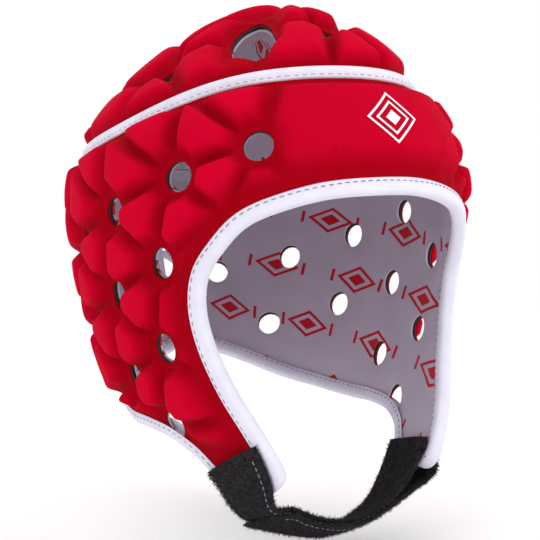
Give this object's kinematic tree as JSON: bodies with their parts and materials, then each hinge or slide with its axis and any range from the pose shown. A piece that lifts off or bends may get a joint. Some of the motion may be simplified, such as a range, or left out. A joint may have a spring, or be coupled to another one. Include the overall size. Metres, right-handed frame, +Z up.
{
  "type": "rugby scrum cap",
  "caption": "Padded rugby scrum cap with raised triangular foam blocks, round vents, smooth forehead pad, lined inside, bound edges, laced nape and chin strap.",
  "frame": {"origin": "inside the crown, where the top of the wearer's head sits against the lining", "axes": "+Z up, -Y forward out of the face opening, +X to the wearer's left"},
  "size_m": [0.188, 0.2287, 0.2582],
  "materials": {
    "shell_cloth": "red knitted stretch cloth bonded over moulded foam",
    "lining_cloth": "grey printed lining cloth",
    "binding_tape": "white folded binding tape, stitched",
    "inner_tape": "grey seam tape",
    "strap_cloth": "black brushed loop fabric",
    "lace_cord": "flat white and grey lace"
  },
  "bodies": {
    "root": {"crown_panel": "shell_cloth", "band_panel": "shell_cloth", "crown_lining": "lining_cloth", "band_lining": "lining_cloth", "crown_binding": "binding_tape", "seam_tape": "inner_tape", "face_binding": "binding_tape", "neck_binding": "binding_tape", "strap_inner": "strap_cloth", "strap_outer": "strap_cloth", "nape_lace": "lace_cord"}
  },
  "joints": []
}
